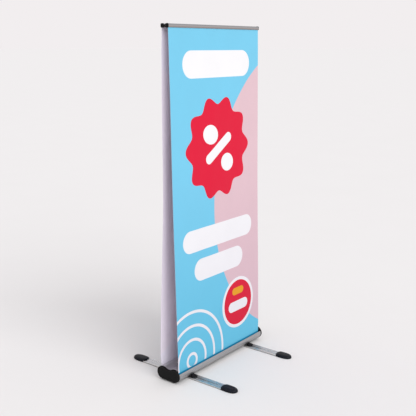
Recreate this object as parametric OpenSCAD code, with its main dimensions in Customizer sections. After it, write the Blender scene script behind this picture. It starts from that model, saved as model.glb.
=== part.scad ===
// Double-sided roll-up banner stand, outdoor pattern, in millimetres.
// Two graphics run from a twin-roller cassette on the floor up to two top rails on a
// telescopic mast. X runs along the cassette, the front graphic faces -Y and +Z is up.
// The origin is on the floor, under the middle of the stand.

/* [Graphics] */
// Width of each graphic
graphic_w = 850; // [700:10:1000]
// Film thickness of each graphic
film_t = 0.6; // [0.4:0.1:0.8]
// Distance from the middle plane to each graphic at its top rail
rail_sheet_y = 22; // [21:0.5:23]
// Outside radius of the graphic still wound on each roller
wound_r = 17.3; // [16.5:0.1:20]

/* [Cassette] */
// Outside radius of each round lobe
lobe_r = 40; // [39:0.5:41]
// Distance from the middle plane to each lobe's centre
lobe_y = 45; // [44:0.5:46]
// Height of the cassette's underside above the floor
cassette_z = 10; // [10:0.5:12]
// Depth of the shallow valley between the lobes, below their crowns
valley_depth = 12; // [10:0.5:14]
// Wall thickness of the extrusion
cassette_wall = 2.4; // [2:0.1:3]
// Length of the extrusion beyond each edge of the graphic
cassette_over = 11; // [10:1:16]
// Height of the front lip of the slot in each lobe
lip_z = 66; // [64:0.5:68]
// Distance from the middle plane to the inner lip of each slot
lip_y = 62; // [60:0.5:63]
// Thickness of each end cap
cap_t = 8; // [6:0.5:10]
// How far each end cap's edge stands proud of the extrusion
cap_lip = 1.2; // [0.5:0.1:2]

/* [Rollers] */
// Outside radius of each roller tube
roller_r = 16; // [15:0.5:16]
// Wall thickness of each roller tube
roller_wall = 1.5; // [1:0.1:2]
// Distance from the middle plane to each roller's axis
roller_y = 49; // [48:0.5:50]
// Height of each roller's axis
roller_z = 46; // [45:0.5:48]
// Radius of the fixed shafts that the rollers turn on
shaft_r = 4; // [3:0.5:5]
// Length of the spring shaft inside the roller tube
spring_l = 190; // [150:10:260]
// Number of turns in each roller spring
spring_turns = 13; // [8:1:16]

/* [Mast] */
// Outside radius of the lower mast tube
mast_r = 15; // [14:0.5:16]
// Wall thickness of the mast tubes
mast_wall = 1.3; // [1:0.1:1.5]
// Radial clearance between telescoping tubes
slide_gap = 0.3; // [0.3:0.05:0.5]
// Height of the lower tube's top end
lower_top = 740; // [730:5:750]
// Height of the middle tube's top end
middle_top = 1384; // [1380:1:1390]
// Length of each tube that stays inside the next one
overlap = 100; // [80:5:110]

/* [Top rails] */
// Height of the underside of both top rails
rail_z = 2060; // [2055:1:2070]
// Height of each rail's section
rail_h = 20; // [18:0.5:22]
// Depth of each rail's section
rail_d = 20; // [19:0.5:21]
// Clear gap between the two rails
rail_gap = 13; // [12:0.5:14]
// Wall thickness of the rails
rail_wall = 1.6; // [1.4:0.1:1.8]

/* [Feet] */
// Distance from the middle of the stand to each foot's pivot
foot_x = 300; // [295:1:310]
// Width of each foot bar
bar_w = 60; // [56:1:64]
// Thickness of each foot bar
bar_t = 7; // [6.5:0.5:7]
// Half length of each foot bar without its end caps
bar_half = 345; // [330:5:360]
// Half length of each foot over its end caps
foot_half = 410; // [400:1:420]
// Width of each foot end cap
shoe_w = 68; // [66:1:72]
// Height of each foot end cap
shoe_h = 18; // [16:0.5:20]

/* [Hidden] */

$fn = 64;
// How far a cutting shape runs past the face it cuts
cut = 1;
// How far two shapes of one piece run into each other
join = 1;

ALUMINIUM = [0.64, 0.65, 0.65];
BLACK = [0.09, 0.09, 0.1];
STEEL = [0.55, 0.56, 0.58];
PRINT_BLUE = [0.47, 0.8, 0.93];

half_w = graphic_w / 2;
body_half = half_w + cassette_over;
lobe_z = cassette_z + lobe_r;
floor_z = cassette_z + cassette_wall;

// The valley is one arc tangent to both lobes: its radius follows from the valley's depth
valley_z = lobe_z + lobe_r - valley_depth;
valley_rise = valley_z - lobe_z;
valley_r = (lobe_y * lobe_y + valley_rise * valley_rise - lobe_r * lobe_r)
    / (2 * (lobe_r - valley_rise));
valley_centre_z = valley_z + valley_r;
tangent_z = lobe_z + lobe_r * (valley_centre_z - lobe_z) / (lobe_r + valley_r);

// Inner webs stand each side of the channel that holds the mast socket
web_y = 19;
web_t = 2;
channel_top = valley_z - cassette_wall;

// Screw ports, one low beside each web and one inside the outer face of each lobe
port_r = 4.2;
port_face_y = lobe_y + lobe_r - 5.5;
port_web_y = 24.5;
port_web_z = 21.5;
ports = [
    [-port_face_y, lobe_z],
    [-port_web_y, port_web_z],
    [port_web_y, port_web_z],
    [port_face_y, lobe_z]
];
screw_r = 1.95;
screw_gap = 0.05;
screw_l = 18;
screw_head_r = 3.8;
screw_head_t = 2.6;
screw_head_gap = 0.2;
screw_recess = 3;

fit_gap = 0.05;
seat_gap = 0.02;
clear_gap = 0.3;
shaft_seat = 5;
plug_flange_t = 3;
plug_spigot_l = 20;
tube_half = half_w - 1;
shaft_stop_r = 7;
spring_wire_r = 1;
spring_coil_r = 8.5;
spring_start_x = -tube_half + plug_spigot_l + 8;
spring_end_space = 18;
spring_sides = 6;
spring_steps = 12;
shaft_stop_t = 6;
idler_pin_inset = 4;

socket_r = 18.7;
socket_top = valley_z + 10;
socket_base_z = 26;
socket_screw_r = 3;
socket_screw_head_t = 1.4;

middle_r = mast_r - mast_wall - slide_gap;
upper_r = middle_r - mast_wall - slide_gap;
middle_bottom = lower_top - overlap;
upper_bottom = middle_top - overlap;
upper_top = rail_z - 13;
bush_t = 8;
collar_wall = 5;
collar_below = 26;
collar_above = 12;
collar_ribs = 12;
collar_rib_r = 1.6;
collar_rib_inset = 3;

head_block = 30;
head_cup_wall = 3;
head_cup_bottom = rail_z - 37;
head_cup_top = rail_z - 7;
head_block_bottom = rail_z - 9;
head_block_top = rail_z + rail_h - 0.5;
tongue_z = rail_z + 6;
tongue_h = 7;
tongue_l = 4;
tongue_gap = 0.3;
rail_front_y = -rail_gap / 2 - rail_d;
rail_web_y = rail_front_y + rail_d / 2;
// Two rooms along the front rail: one for the film's hem, one for the mast head's tongue
rail_rooms = [
    [rail_front_y + rail_wall, rail_web_y - rail_wall / 2],
    [rail_web_y + rail_wall / 2, -rail_gap / 2 - rail_wall]
];
rail_corner_r = 2;
rail_slot_w = 2.2;
rail_cap_t = 4;
rail_cap_lip = 1.2;
cap_plug_d = 5;
cap_plug_l = 1.6;
cap_plug_gap = 0.2;
hem_up = 10;
clamp_t = 4;
clamp_gap = 0.2;
clamp_inset = 2;

bar_z = 1.5;
bar_top = bar_z + bar_t;
bar_lip = 8;
bar_recess = 0.8;
bar_rib_w = 3;
pivot_r = 5;
pivot_head_r = 10;
pivot_head_t = 3;
washer_r = 20;
nut_r = 9;
nut_t = 7;
pad_r = 19.5;
pad_y = 86;
pad_t = 7.4;
pad_gap = 0.4;
heel_r = 10;
heel_y = 75;
heel_h = 15;

// The end caps' mouths, and the three levels of their rounded tops
mouth_y = 300;
mouth_gap = 0.1;
shoe_corner = 2;
shoe_nose_r = shoe_w / 2 - 8;
shoe_nose_l = 12;
shoe_levels = [[0.55, 0], [0.85, 3.5], [1, 10]];

// ---- Helpers ----

// Sweeps a section drawn in the Y-Z plane along X
module along_x(from_x, to_x) {
    translate([from_x, 0, 0])
        rotate([90, 0, 90])
            linear_extrude(height = to_x - from_x)
                children();
}

// Sweeps a section drawn in the X-Z plane along Y
module along_y(from_y, to_y) {
    translate([0, to_y, 0])
        rotate([90, 0, 0])
            linear_extrude(height = to_y - from_y)
                children();
}

// A round bar that lies along X
module rod_x(from_x, to_x, y, z, r) {
    translate([from_x, y, z])
        rotate([0, 90, 0])
            cylinder(h = to_x - from_x, r = r);
}

// An upright tube
module tube_z(from_z, to_z, r, wall) {
    difference() {
        translate([0, 0, from_z])
            cylinder(h = to_z - from_z, r = r);
        translate([0, 0, from_z - cut])
            cylinder(h = to_z - from_z + 2 * cut, r = r - wall);
    }
}

// The rear of the stand repeats the front, mirrored in the middle plane
module as_rear() {
    mirror([0, 1, 0])
        children();
}

// The right half repeats the left, mirrored end for end
module as_right() {
    mirror([1, 0, 0])
        children();
}

// The place of the left foot's pivot at side -1 and of the right one's at side 1
module at_foot(side) {
    translate([side * foot_x, 0, 0])
        children();
}

// ---- Cassette ----

module lobes(r) {
    for (side = [-1, 1])
        translate([side * lobe_y, lobe_z])
            circle(r = r);
}

// Outline of the cassette, with "grow" added all round
module cassette_outline(grow) {
    difference() {
        union() {
            lobes(lobe_r + grow);
            translate([-lobe_y, cassette_z - grow])
                square([2 * lobe_y, tangent_z - cassette_z + grow]);
        }
        translate([0, valley_centre_z])
            circle(r = valley_r - grow, $fn = 120);
    }
}

module roller_room(side) {
    intersection() {
        translate([side * lobe_y, lobe_z])
            circle(r = lobe_r - cassette_wall);
        translate([side > 0 ? web_y + web_t : -lobe_y - lobe_r, 0])
            square([lobe_y + lobe_r - web_y - web_t, lobe_z + lobe_r]);
    }
}

module cassette_section() {
    difference() {
        cassette_outline(0);
        difference() {
            union() {
                roller_room(-1);
                roller_room(1);
            }
            for (p = ports)
                translate(p)
                    circle(r = port_r);
        }
        translate([-web_y, floor_z])
            square([2 * web_y, channel_top - floor_z]);
        for (p = ports)
            translate(p)
                circle(r = screw_r + screw_gap);
        for (side = [-1, 1])
            translate([side > 0 ? lip_y : -lip_y - lobe_r, lip_z])
                square([lobe_r, lobe_r]);
    }
}

module cassette_body() {
    color(ALUMINIUM)
        difference() {
            along_x(-body_half, body_half)
                cassette_section();
            translate([0, 0, channel_top - cut])
                cylinder(h = valley_depth + cassette_wall + cut, r = socket_r + clear_gap);
            for (side = [-1, 1])
                at_foot(side)
                    cylinder(h = floor_z + cut, r = pivot_r + fit_gap);
            cylinder(h = floor_z + cut, r = socket_screw_r + fit_gap);
        }
}

module left_end_cap() {
    face_x = -body_half - cap_t;
    color(BLACK)
        difference() {
            along_x(face_x, -body_half)
                cassette_outline(cap_lip);
            for (p = ports) {
                rod_x(face_x - cut, -body_half + cut, p[0], p[1], screw_r + screw_gap);
                rod_x(face_x - cut, face_x + screw_recess, p[0], p[1], screw_head_r + screw_head_gap);
            }
            for (side = [-1, 1])
                rod_x(
                    -body_half - shaft_seat, -body_half + cut,
                    side * roller_y, roller_z, shaft_r + seat_gap
                );
        }
}

module right_end_cap() {
    as_right()
        left_end_cap();
}

module cap_screw(p) {
    head_x = -body_half - cap_t + screw_recess - screw_head_t;
    rod_x(head_x, head_x + screw_head_t, p[0], p[1], screw_head_r);
    rod_x(head_x + join, head_x + screw_l, p[0], p[1], screw_r);
}

module end_cap_screws() {
    color(BLACK)
        for (p = ports) {
            cap_screw(p);
            as_right()
                cap_screw(p);
        }
}

// ---- Roller fittings held by the cassette ----

// The shaft that the spring is wound on, fixed in the left end cap
module front_spring_shaft() {
    tip_x = spring_start_x + spring_l;
    color(STEEL) {
        rod_x(-body_half - shaft_seat, tip_x, -roller_y, roller_z, shaft_r);
        rod_x(tip_x - shaft_stop_t, tip_x, -roller_y, roller_z, shaft_stop_r);
    }
}

module rear_spring_shaft() {
    as_rear()
        front_spring_shaft();
}

// One ring of the spring wire's section, at an angle along the coil
function coil_ring(angle) = [
    for (s = [0 : spring_sides - 1])
        let (
            across = spring_coil_r + spring_wire_r * cos(360 * s / spring_sides),
            along = spring_wire_r * sin(360 * s / spring_sides),
            travel = (spring_l - spring_end_space) * angle / (360 * spring_turns)
        )
        [
            spring_start_x + shaft_r + travel + along,
            across * sin(angle),
            across * cos(angle)
        ]
];

// Skin of the swept wire: quads between rings, and one face at each end
function wire_faces(rings, sides) = concat(
    [[for (s = [sides - 1 : -1 : 0]) s]],
    [
        for (r = [0 : rings - 2])
            for (s = [0 : sides - 1])
                [
                    r * sides + s,
                    r * sides + (s + 1) % sides,
                    (r + 1) * sides + (s + 1) % sides,
                    (r + 1) * sides + s
                ]
    ],
    [[for (s = [0 : sides - 1]) (rings - 1) * sides + s]]
);

module front_roller_spring() {
    rings = spring_turns * spring_steps + 1;
    points = [for (k = [0 : rings - 1]) each coil_ring(360 * k / spring_steps)];
    color(STEEL)
        translate([0, -roller_y, roller_z])
            polyhedron(points = points, faces = wire_faces(rings, spring_sides));
}

module rear_roller_spring() {
    as_rear()
        front_roller_spring();
}

module front_idler_pin() {
    color(STEEL)
        rod_x(
            tube_half - plug_spigot_l + idler_pin_inset, body_half + shaft_seat,
            -roller_y, roller_z, shaft_r
        );
}

module rear_idler_pin() {
    as_rear()
        front_idler_pin();
}

// ---- Rollers ----

module front_roller_tube() {
    color(ALUMINIUM)
        difference() {
            rod_x(-tube_half, tube_half, -roller_y, roller_z, roller_r);
            rod_x(-tube_half - cut, tube_half + cut, -roller_y, roller_z, roller_r - roller_wall);
        }
}

module rear_roller_tube() {
    as_rear()
        front_roller_tube();
}

// A flanged plug in the roller's end that turns on the fixed shaft
module front_spring_plug() {
    color(BLACK)
        difference() {
            union() {
                rod_x(-tube_half - plug_flange_t, -tube_half, -roller_y, roller_z, roller_r);
                rod_x(-tube_half, -tube_half + plug_spigot_l, -roller_y, roller_z, roller_r - roller_wall);
            }
            rod_x(-body_half, -tube_half + plug_spigot_l + cut, -roller_y, roller_z, shaft_r + fit_gap);
        }
}

module rear_spring_plug() {
    as_rear()
        front_spring_plug();
}

module front_idler_plug() {
    as_right()
        front_spring_plug();
}

module rear_idler_plug() {
    as_rear()
        front_idler_plug();
}

module front_wound_graphic() {
    color(PRINT_BLUE)
        difference() {
            rod_x(-tube_half, tube_half, -roller_y, roller_z, wound_r);
            rod_x(-half_w, half_w, -roller_y, roller_z, roller_r);
        }
}

module rear_wound_graphic() {
    as_rear()
        front_wound_graphic();
}

// ---- Graphics ----

// The film, straight from the roll up through the slot to its hem inside the top rail
module front_graphic() {
    roll_side = -roller_y - wound_r - clear_gap;
    rise = rail_z + hem_up;
    color(PRINT_BLUE)
        along_x(-half_w, half_w)
            polygon([
                [roll_side - film_t, roller_z],
                [roll_side, roller_z],
                [-rail_sheet_y + film_t / 2, rise],
                [-rail_sheet_y - film_t / 2, rise]
            ]);
}

module rear_graphic() {
    as_rear()
        front_graphic();
}

// ---- Mast ----

module mast_socket() {
    color(BLACK)
        difference() {
            translate([0, 0, floor_z])
                cylinder(h = socket_top - floor_z, r = socket_r);
            translate([0, 0, socket_base_z])
                cylinder(h = socket_top, r = mast_r + fit_gap);
            cylinder(h = socket_base_z + cut, r = socket_screw_r + fit_gap);
        }
}

module mast_socket_screw() {
    color(STEEL) {
        translate([0, 0, cassette_z - socket_screw_head_t])
            cylinder(h = socket_screw_head_t, r = 2 * socket_screw_r);
        translate([0, 0, cassette_z - join])
            cylinder(h = socket_base_z - cassette_z - join, r = socket_screw_r);
    }
}

module mast_lower_tube() {
    color(ALUMINIUM)
        tube_z(socket_base_z, lower_top, mast_r, mast_wall);
}

// A ribbed collar that turns on the end of one tube and grips the tube inside it
module lock_collar(tube_top, outer_r, inner_r) {
    shell_r = outer_r + clear_gap + collar_wall;
    length = collar_below + collar_above;
    color(BLACK)
        difference() {
            translate([0, 0, tube_top - collar_below]) {
                cylinder(h = length, r = shell_r - join);
                for (k = [0 : collar_ribs - 1])
                    rotate([0, 0, 360 * k / collar_ribs])
                        translate([shell_r - join, 0, collar_rib_inset])
                            cylinder(h = length - 2 * collar_rib_inset, r = collar_rib_r, $fn = 16);
            }
            translate([0, 0, tube_top - collar_below - cut])
                cylinder(h = collar_below + cut + clear_gap, r = outer_r + clear_gap);
            translate([0, 0, tube_top])
                cylinder(h = collar_above + cut, r = inner_r + clear_gap);
        }
}

module lower_lock_collar() {
    lock_collar(lower_top, mast_r, middle_r);
}

module mast_middle_tube() {
    color(ALUMINIUM)
        tube_z(middle_bottom, middle_top, middle_r, mast_wall);
}

// A stepped bush that closes a tube's lower end and steadies it in the tube outside
module end_bush(tube_bottom, r) {
    color(BLACK) {
        translate([0, 0, tube_bottom - bush_t])
            cylinder(h = bush_t, r = r);
        translate([0, 0, tube_bottom - join])
            cylinder(h = bush_t * 2, r = r - mast_wall);
    }
}

module mast_middle_bush() {
    end_bush(middle_bottom, middle_r);
}

module upper_lock_collar() {
    lock_collar(middle_top, middle_r, upper_r);
}

module mast_upper_tube() {
    color(ALUMINIUM)
        tube_z(upper_bottom, upper_top, upper_r, mast_wall);
}

module mast_upper_bush() {
    end_bush(upper_bottom, upper_r);
}

// The cup on top of the mast, with a block between the rails and a tongue into each one
module mast_head() {
    color(BLACK)
        difference() {
            union() {
                translate([0, 0, head_cup_bottom])
                    cylinder(h = head_cup_top - head_cup_bottom, r = upper_r + head_cup_wall);
                translate([-head_block, -rail_gap / 2, head_block_bottom])
                    cube([2 * head_block, rail_gap, head_block_top - head_block_bottom]);
                translate([-head_block, -rail_gap / 2 - tongue_l, tongue_z + tongue_gap])
                    cube([2 * head_block, rail_gap + 2 * tongue_l, tongue_h - 2 * tongue_gap]);
            }
            translate([0, 0, head_cup_bottom - cut])
                cylinder(h = upper_top - head_cup_bottom + cut, r = upper_r + fit_gap);
        }
}

// ---- Top rails ----

module rounded_square(w, h, r) {
    translate([r, 0])
        square([w - 2 * r, h]);
    translate([0, r])
        square([w, h - 2 * r]);
    for (x = [r, w - r])
        for (y = [r, h - r])
            translate([x, y])
                circle(r = r);
}

module rail_outline() {
    translate([rail_front_y, rail_z])
        rounded_square(rail_d, rail_h, rail_corner_r);
}

module front_top_rail() {
    color(ALUMINIUM)
        along_x(-half_w, half_w)
            difference() {
                rail_outline();
                for (room = rail_rooms)
                    translate([room[0], rail_z + rail_wall])
                        square([room[1] - room[0], rail_h - 2 * rail_wall]);
                translate([-rail_sheet_y - rail_slot_w / 2, rail_z - cut])
                    square([rail_slot_w, rail_wall + 2 * cut]);
                translate([-rail_gap / 2 - tongue_l, tongue_z])
                    square([tongue_l + cut, tongue_h]);
            }
}

module rear_top_rail() {
    as_rear()
        front_top_rail();
}

// The strip that pinches the film's hem inside the rail
module front_clamp_strip() {
    color(STEEL)
        translate([
            -half_w + clamp_inset,
            -rail_sheet_y + film_t / 2 + clear_gap,
            rail_z + rail_wall + clamp_gap
        ])
            cube([graphic_w - 2 * clamp_inset, clamp_t, hem_up]);
}

module rear_clamp_strip() {
    as_rear()
        front_clamp_strip();
}

module front_rail_left_cap() {
    color(BLACK) {
        along_x(-half_w - rail_cap_t, -half_w)
            offset(r = rail_cap_lip)
                rail_outline();
        along_x(-half_w - join, -half_w + cap_plug_l)
            translate([rail_rooms[1][0] + 2 * cap_plug_gap, rail_z + rail_wall + cap_plug_gap])
                square([cap_plug_d, rail_h - 2 * rail_wall - 2 * cap_plug_gap]);
    }
}

module front_rail_right_cap() {
    as_right()
        front_rail_left_cap();
}

module rear_rail_left_cap() {
    as_rear()
        front_rail_left_cap();
}

module rear_rail_right_cap() {
    as_rear()
        front_rail_right_cap();
}

// ---- Feet ----

// Section of the bar: lips along both edges, a shallow recess and a middle rib
module bar_section() {
    difference() {
        translate([-bar_w / 2, bar_z])
            square([bar_w, bar_t]);
        for (side = [-1, 1])
            translate([side > 0 ? bar_rib_w : bar_lip - bar_w / 2, bar_top - bar_recess])
                square([bar_w / 2 - bar_lip - bar_rib_w, bar_recess + cut]);
    }
}

module foot_bar(side) {
    color(ALUMINIUM)
        at_foot(side)
            difference() {
                along_y(-bar_half, bar_half)
                    bar_section();
                translate([0, 0, bar_top - bar_recess])
                    cylinder(h = bar_recess + cut, r = washer_r + clear_gap);
                cylinder(h = bar_top + cut, r = pivot_r + fit_gap);
                cylinder(h = bar_z + pivot_head_t, r = pivot_head_r + clear_gap);
            }
}

module shoe_plan(inset) {
    mouth_w = shoe_w - 2 * shoe_corner - 2 * inset;
    hull() {
        translate([0, foot_half - shoe_nose_r])
            circle(r = shoe_nose_r - inset, $fn = 32);
        translate([0, foot_half - shoe_w / 2 - shoe_nose_l])
            circle(r = shoe_w / 2 - inset, $fn = 32);
        translate([-mouth_w / 2, mouth_y])
            square([mouth_w, shoe_nose_l]);
    }
}

// The rounded cap on the rear end of a foot bar
module rear_shoe(side) {
    color(BLACK)
        at_foot(side)
            difference() {
                hull()
                    for (level = shoe_levels)
                        linear_extrude(height = shoe_h * level[0])
                            shoe_plan(level[1]);
                along_y(mouth_y - cut, bar_half + mouth_gap)
                    translate([-bar_w / 2 - mouth_gap, bar_z - mouth_gap])
                        square([bar_w + 2 * mouth_gap, bar_t + 2 * mouth_gap]);
            }
}

module left_foot_bar() {
    foot_bar(-1);
}

module right_foot_bar() {
    foot_bar(1);
}

module left_foot_rear_cap() {
    rear_shoe(-1);
}

module right_foot_rear_cap() {
    rear_shoe(1);
}

module left_foot_front_cap() {
    as_rear()
        rear_shoe(-1);
}

module right_foot_front_cap() {
    as_rear()
        rear_shoe(1);
}

// A pivot bolt from below through each bar, its washer above and its nut in the channel
module foot_pivot_bolts() {
    color(STEEL)
        for (side = [-1, 1])
            at_foot(side) {
                translate([0, 0, bar_z])
                    cylinder(h = pivot_head_t, r = pivot_head_r);
                translate([0, 0, bar_z + join])
                    cylinder(h = floor_z + nut_t - bar_z, r = pivot_r);
            }
}

module foot_pivot_nuts() {
    color(STEEL)
        for (side = [-1, 1])
            at_foot(side)
                translate([0, 0, floor_z])
                    difference() {
                        cylinder(h = nut_t, r = nut_r, $fn = 6);
                        translate([0, 0, -cut])
                            cylinder(h = nut_t + 2 * cut, r = pivot_r + fit_gap);
                    }
}

module foot_washers() {
    color(BLACK)
        for (side = [-1, 1])
            at_foot(side)
                difference() {
                    translate([0, 0, bar_top - bar_recess])
                        cylinder(h = cassette_z - bar_top + bar_recess, r = washer_r);
                    cylinder(h = cassette_z + cut, r = pivot_r + fit_gap);
                }
}

// Rubber pads that bear on the feet and keep the cassette from rocking. The heel of each
// reaches up to its lobe
module support_pads() {
    color(BLACK)
        for (side = [-1, 1])
            for (face = [-1, 1])
                difference() {
                    translate([side * foot_x, 0, bar_top + pad_gap]) {
                        translate([0, face * pad_y, 0])
                            cylinder(h = pad_t, r = pad_r);
                        translate([0, face * heel_y, 0])
                            cylinder(h = heel_h, r = heel_r);
                    }
                    rod_x(
                        side * foot_x - pad_r - cut, side * foot_x + pad_r + cut,
                        face * lobe_y, lobe_z, lobe_r
                    );
                }
}

cassette_body();
left_end_cap();
right_end_cap();
end_cap_screws();
front_spring_shaft();
rear_spring_shaft();
front_roller_spring();
rear_roller_spring();
front_idler_pin();
rear_idler_pin();
front_graphic();
rear_graphic();
mast_socket();
mast_socket_screw();
mast_lower_tube();
support_pads();
foot_pivot_bolts();
foot_pivot_nuts();
foot_washers();
front_roller_tube();
front_spring_plug();
front_idler_plug();
front_wound_graphic();
rear_roller_tube();
rear_spring_plug();
rear_idler_plug();
rear_wound_graphic();
lower_lock_collar();
mast_middle_tube();
mast_middle_bush();
upper_lock_collar();
mast_upper_tube();
mast_upper_bush();
mast_head();
front_top_rail();
rear_top_rail();
front_clamp_strip();
rear_clamp_strip();
front_rail_left_cap();
front_rail_right_cap();
rear_rail_left_cap();
rear_rail_right_cap();
left_foot_bar();
left_foot_front_cap();
left_foot_rear_cap();
right_foot_bar();
right_foot_front_cap();
right_foot_rear_cap();
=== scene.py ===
# Visible model of a double-sided roll-up banner stand: a twin-lobed cassette on two
# swivelling feet, a telescopic mast, two top rails and a printed film on each side.
# Lengths are in metres. X runs along the cassette, the front banner faces -Y, +Z is up.

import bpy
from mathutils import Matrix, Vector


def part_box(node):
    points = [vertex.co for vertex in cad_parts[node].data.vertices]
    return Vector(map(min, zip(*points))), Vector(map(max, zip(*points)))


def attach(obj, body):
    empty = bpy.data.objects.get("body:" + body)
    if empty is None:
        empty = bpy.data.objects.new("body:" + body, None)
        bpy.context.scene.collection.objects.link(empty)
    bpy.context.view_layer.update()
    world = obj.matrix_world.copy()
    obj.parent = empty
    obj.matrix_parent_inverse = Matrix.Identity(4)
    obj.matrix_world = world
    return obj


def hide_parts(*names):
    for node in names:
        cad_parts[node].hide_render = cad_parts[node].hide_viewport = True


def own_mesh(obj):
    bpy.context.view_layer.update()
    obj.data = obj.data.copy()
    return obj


bl_info = {
    "name": "Roll-up banner stand",
    "version": (1, 0, 0),
    "blender": (4, 5, 0),
    "location": "3D View > Sidebar > Banner stand",
    "description": "Builds the visible pieces of a double-sided roll-up banner stand",
    "category": "Add Mesh",
}

import math

import bmesh
import bpy
from bpy.props import FloatProperty, FloatVectorProperty, IntProperty, PointerProperty
from mathutils import Vector
from mathutils.geometry import tessellate_polygon

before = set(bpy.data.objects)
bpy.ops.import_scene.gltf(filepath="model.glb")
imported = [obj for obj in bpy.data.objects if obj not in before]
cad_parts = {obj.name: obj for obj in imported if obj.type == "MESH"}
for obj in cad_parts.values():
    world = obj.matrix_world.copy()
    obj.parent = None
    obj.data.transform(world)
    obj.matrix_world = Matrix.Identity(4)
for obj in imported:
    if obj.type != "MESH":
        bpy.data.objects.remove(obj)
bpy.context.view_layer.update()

FULL_TURN = 2 * math.pi

# ---- What the frame gives ----

CASSETTE_LOW, CASSETTE_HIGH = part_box("cassette_body")
CAP_LOW, CAP_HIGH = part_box("left_end_cap")
RAIL_LOW, RAIL_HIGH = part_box("front_top_rail")
RAIL_CAP_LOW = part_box("front_rail_left_cap")[0]
FILM_LOW, FILM_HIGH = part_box("front_graphic")
BAR_LOW, BAR_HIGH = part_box("left_foot_bar")
SHOE_LOW, SHOE_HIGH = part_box("left_foot_rear_cap")
LOWER_COLLAR_LOW, LOWER_COLLAR_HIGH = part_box("lower_lock_collar")
UPPER_COLLAR_LOW, UPPER_COLLAR_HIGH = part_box("upper_lock_collar")
HEAD_LOW, HEAD_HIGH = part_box("mast_head")
SOCKET_LOW, SOCKET_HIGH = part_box("mast_socket")
MAST_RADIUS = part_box("mast_lower_tube")[1].y
MIDDLE_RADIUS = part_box("mast_middle_tube")[1].y
UPPER_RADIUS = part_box("mast_upper_tube")[1].y
PIVOT_X = -(BAR_LOW.x + BAR_HIGH.x) / 2
FILM_HALF = 0.0003  # Half the thickness of the film that the frame holds
LOBE_RADIUS = (CASSETTE_HIGH.z - CASSETTE_LOW.z) / 2
LOBE_Y = CASSETTE_HIGH.y - LOBE_RADIUS
LOBE_Z = CASSETTE_LOW.z + LOBE_RADIUS


# ---- Sizes and colours that a user would change ----

def length(label, text, default, low=0.0, high=10.0):
    return FloatProperty(
        name=label, description=text, default=default, min=low, max=high, unit="LENGTH"
    )


def ink(label, text, default):
    return FloatVectorProperty(
        name=label, description=text, default=default, size=3, min=0, max=1, subtype="COLOR"
    )


def share(label, text, default):
    return FloatProperty(
        name=label, description=text, default=default, min=0, max=1, subtype="FACTOR"
    )


def turning(label, text, degrees):
    return FloatProperty(
        name=label, description=text, default=math.radians(degrees), unit="ROTATION"
    )


def amount(label, text, default, low=-10.0):
    return FloatProperty(name=label, description=text, default=default, min=low)


class BannerFilm(bpy.types.PropertyGroup):
    """The two printed films"""

    thickness: length("Thickness", "Thickness of the film", 0.0005, 0.0002, 0.001)
    curl: length("Edge curl", "How far the rear film's sides draw inwards", 0.014, 0, 0.02)
    belly: length("Edge flare", "How far the rear film's edges flare outwards", 0.008, 0, 0.02)
    curl_width: length("Curl width", "Width of the curl in from each edge", 0.16, 0.02, 0.4)
    wave: length("Wave", "Depth of the faint upright waves", 0.0006, 0, 0.003)
    sky: ink("Sky", "Ground colour of the print, from half way up", (0.157, 0.490, 0.680))
    # Painted shade: the sky ground is darker towards the film's foot
    sky_low_shaded: ink("Low sky", "Ground colour of the print at its foot", (0.120, 0.485, 0.665))
    blush: ink("Blush", "Colour of the large round field", (0.605, 0.433, 0.476))
    paper: ink("Paper", "Colour of the bars, rings and signs", (0.733, 0.735, 0.75))
    signal: ink("Signal red", "Colour of the two badges", (0.60, 0.006, 0.034))
    amber: ink("Amber", "Colour of the small bar in the round badge", (0.68, 0.31, 0.015))
    # Painted shade: the deep blue band at the film's foot stands for the shadow inside the slot
    slot_shade: ink("Leader", "Colour of the plain band that runs into the cassette", (0.012, 0.27, 0.48))
    backing: ink("Backing", "Colour of the film's unprinted side", (0.76, 0.71, 0.80))
    show_through: share("Show-through", "How much print is seen from the unprinted side", 0.05)


class CassetteMetal(bpy.types.PropertyGroup):
    """The cassette, its end caps and its pads"""

    wall: length("Wall", "Wall thickness of the extrusion", 0.0024, 0.001, 0.004)
    valley: length("Valley", "Depth of the valley below the lobes' crowns", 0.012, 0.005, 0.02)
    lip_height: length("Front lip", "Height of each slot's outer lip", 0.066, 0.05, 0.08)
    lip_depth: length("Inner lip", "Distance of each slot's inner lip from the middle", 0.062, 0.05, 0.08)
    cap_edge: length("Cap edge", "Radius of the end caps' outer edge", 0.0026, 0.0005, 0.006)
    cap_panel: length("Cap panel", "How deep the panel in each end cap is set", 0.0006, 0, 0.002)
    pad_thickness: length("Pad thickness", "Thickness of the rubber pads", 0.0074, 0.004, 0.0075)
    pad_edge: length("Pad edge", "Radius of the rubber pads' rim", 0.0022, 0.0005, 0.003)


class RailMetal(bpy.types.PropertyGroup):
    """The two top rails and their caps"""

    corner: length("Corner", "Radius of the rail's corners", 0.002, 0.0005, 0.004)
    ridge: length("Ridge", "How far the front face's middle stands out", 0.0007, 0, 0.002)
    cap_over: length("Cap overhang", "How far a cap stands out round the rail", 0.0015, 0, 0.003)
    cap_dome: length("Cap dome", "How far a rail cap's face bulges", 0.0022, 0, 0.005)


class FootMetal(bpy.types.PropertyGroup):
    """The feet and their end caps"""

    lip: length("Lip", "Width of the raised lip along each edge of a foot bar", 0.008, 0.003, 0.012)
    groove: length("Groove", "Depth of the long grooves in a foot bar", 0.0009, 0, 0.002)
    chamfer: length("Chamfer", "Size of the foot bar's rounded edges", 0.0008, 0.0002, 0.002)
    tongue: length("Tongue", "How far a shoe's top reaches over the bar", 0.013, 0, 0.02)


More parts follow.
